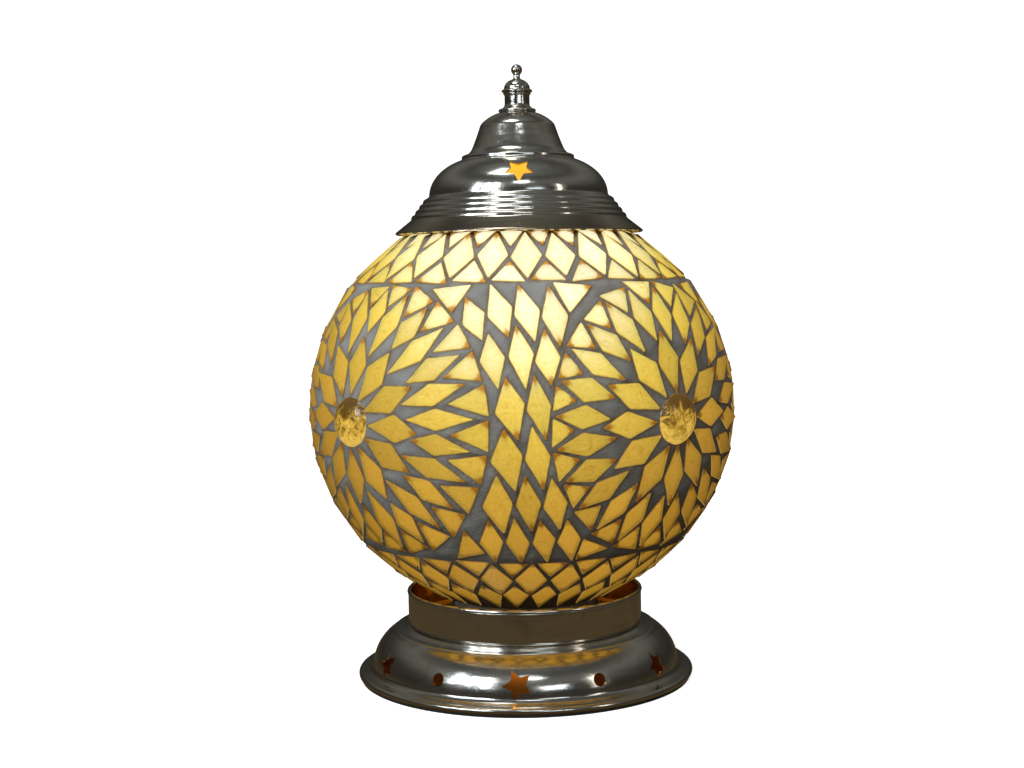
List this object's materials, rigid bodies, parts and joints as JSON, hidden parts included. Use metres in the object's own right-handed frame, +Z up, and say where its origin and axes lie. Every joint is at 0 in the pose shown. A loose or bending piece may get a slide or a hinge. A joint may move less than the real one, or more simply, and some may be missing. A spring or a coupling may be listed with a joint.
{
  "type": "mosaic glass table lamp",
  "caption": "Round table lamp: a lit glass globe covered in hand-cut glass tiles set as flowers, on a pressed metal base with star cut-outs, under a stepped metal cap with a finial.",
  "frame": {"origin": "on the lamp's axis, at the surface that the base stands on", "axes": "+Z up along the lamp's axis, front of the lamp towards -Y"},
  "size_m": [0.1984, 0.1984, 0.2849],
  "materials": {
    "pad_rubber": "matt black rubber ring",
    "plated_metal": "nickel-plated sheet, hand polished with fine scratches",
    "seat_metal": "dull pressed steel",
    "gasket_rubber": "matt rubber",
    "brass": "plain turned brass",
    "steel": "zinc-plated",
    "holder_plastic": "moulded, cream",
    "porcelain": "unglazed white porcelain",
    "bulb_glass": "frosted, lit from inside",
    "bulb_metal": "rolled screw cap",
    "black_glass": "black insulating glass",
    "stem_glass": "clear",
    "filament": "glowing wire",
    "globe_glass": "frosted inside, warm from the bulb",
    "grout": "matt grey grout",
    "tile_glass": "amber crackle glass, ground edges",
    "nugget_glass": "amber glass gem with a brown crackle",
    "felt": "brown felt"
  },
  "bodies": {
    "base": {"rim_pad": "pad_rubber", "base_skirt": "plated_metal", "base_collar": "plated_metal", "collar_screws": "steel", "collar_nuts": "steel", "globe_seat": "seat_metal", "seat_gasket": "gasket_rubber", "nipple_tube": "brass", "nipple_nuts": "brass", "nipple_washers": "steel", "cord_grommet": "gasket_rubber", "earth_tag": "brass", "earth_screw": "steel", "holder_cap": "holder_plastic", "holder_shell": "holder_plastic", "holder_insert": "porcelain", "holder_thread": "brass", "holder_contacts": "brass", "terminal_screws": "steel"},
    "bulb": {"bulb_glass": "bulb_glass", "bulb_screw_cap": "bulb_metal", "bulb_insulator": "black_glass", "bulb_contact": "bulb_metal", "bulb_stem": "stem_glass", "bulb_filament": "filament"},
    "globe": {"globe_glass": "globe_glass", "tile_bed": "grout", "medallion_nuggets": "nugget_glass", "medallion_inner_petals": "tile_glass", "medallion_outer_petals": "tile_glass", "medallion_points": "tile_glass", "corner_tiles": "tile_glass", "strip_diamonds": "tile_glass", "top_band_triangles": "tile_glass", "top_band_diamonds": "tile_glass", "top_edge_triangles": "tile_glass", "bottom_band_triangles": "tile_glass", "bottom_band_diamonds": "tile_glass", "bottom_edge_diamonds": "tile_glass"},
    "cap": {"cap_shell": "plated_metal", "cap_spider": "seat_metal", "cap_felt": "felt", "stud_washer": "steel", "stud_nut": "brass"},
    "finial": {"finial_ferrule": "plated_metal", "finial_knob": "plated_metal", "finial_stud": "plated_metal"}
  },
  "joints": [
    {"name": "globe_lift", "type": "slide", "parent": "base", "child": "globe", "axis": [0, 0, 1], "range_m": [0, 0.16]},
    {"name": "cap_lift", "type": "slide", "parent": "globe", "child": "cap", "axis": [0, 0, 1], "range_m": [0, 0.08]},
    {"name": "bulb_turn", "type": "hinge", "parent": "base", "child": "bulb", "pos_m": [0, 0, 0.1], "axis": [0, 0, 1], "continuous": true},
    {"name": "finial_turn", "type": "hinge", "parent": "cap", "child": "finial", "pos_m": [0, 0, 0.27], "axis": [0, 0, 1], "continuous": true}
  ]
}
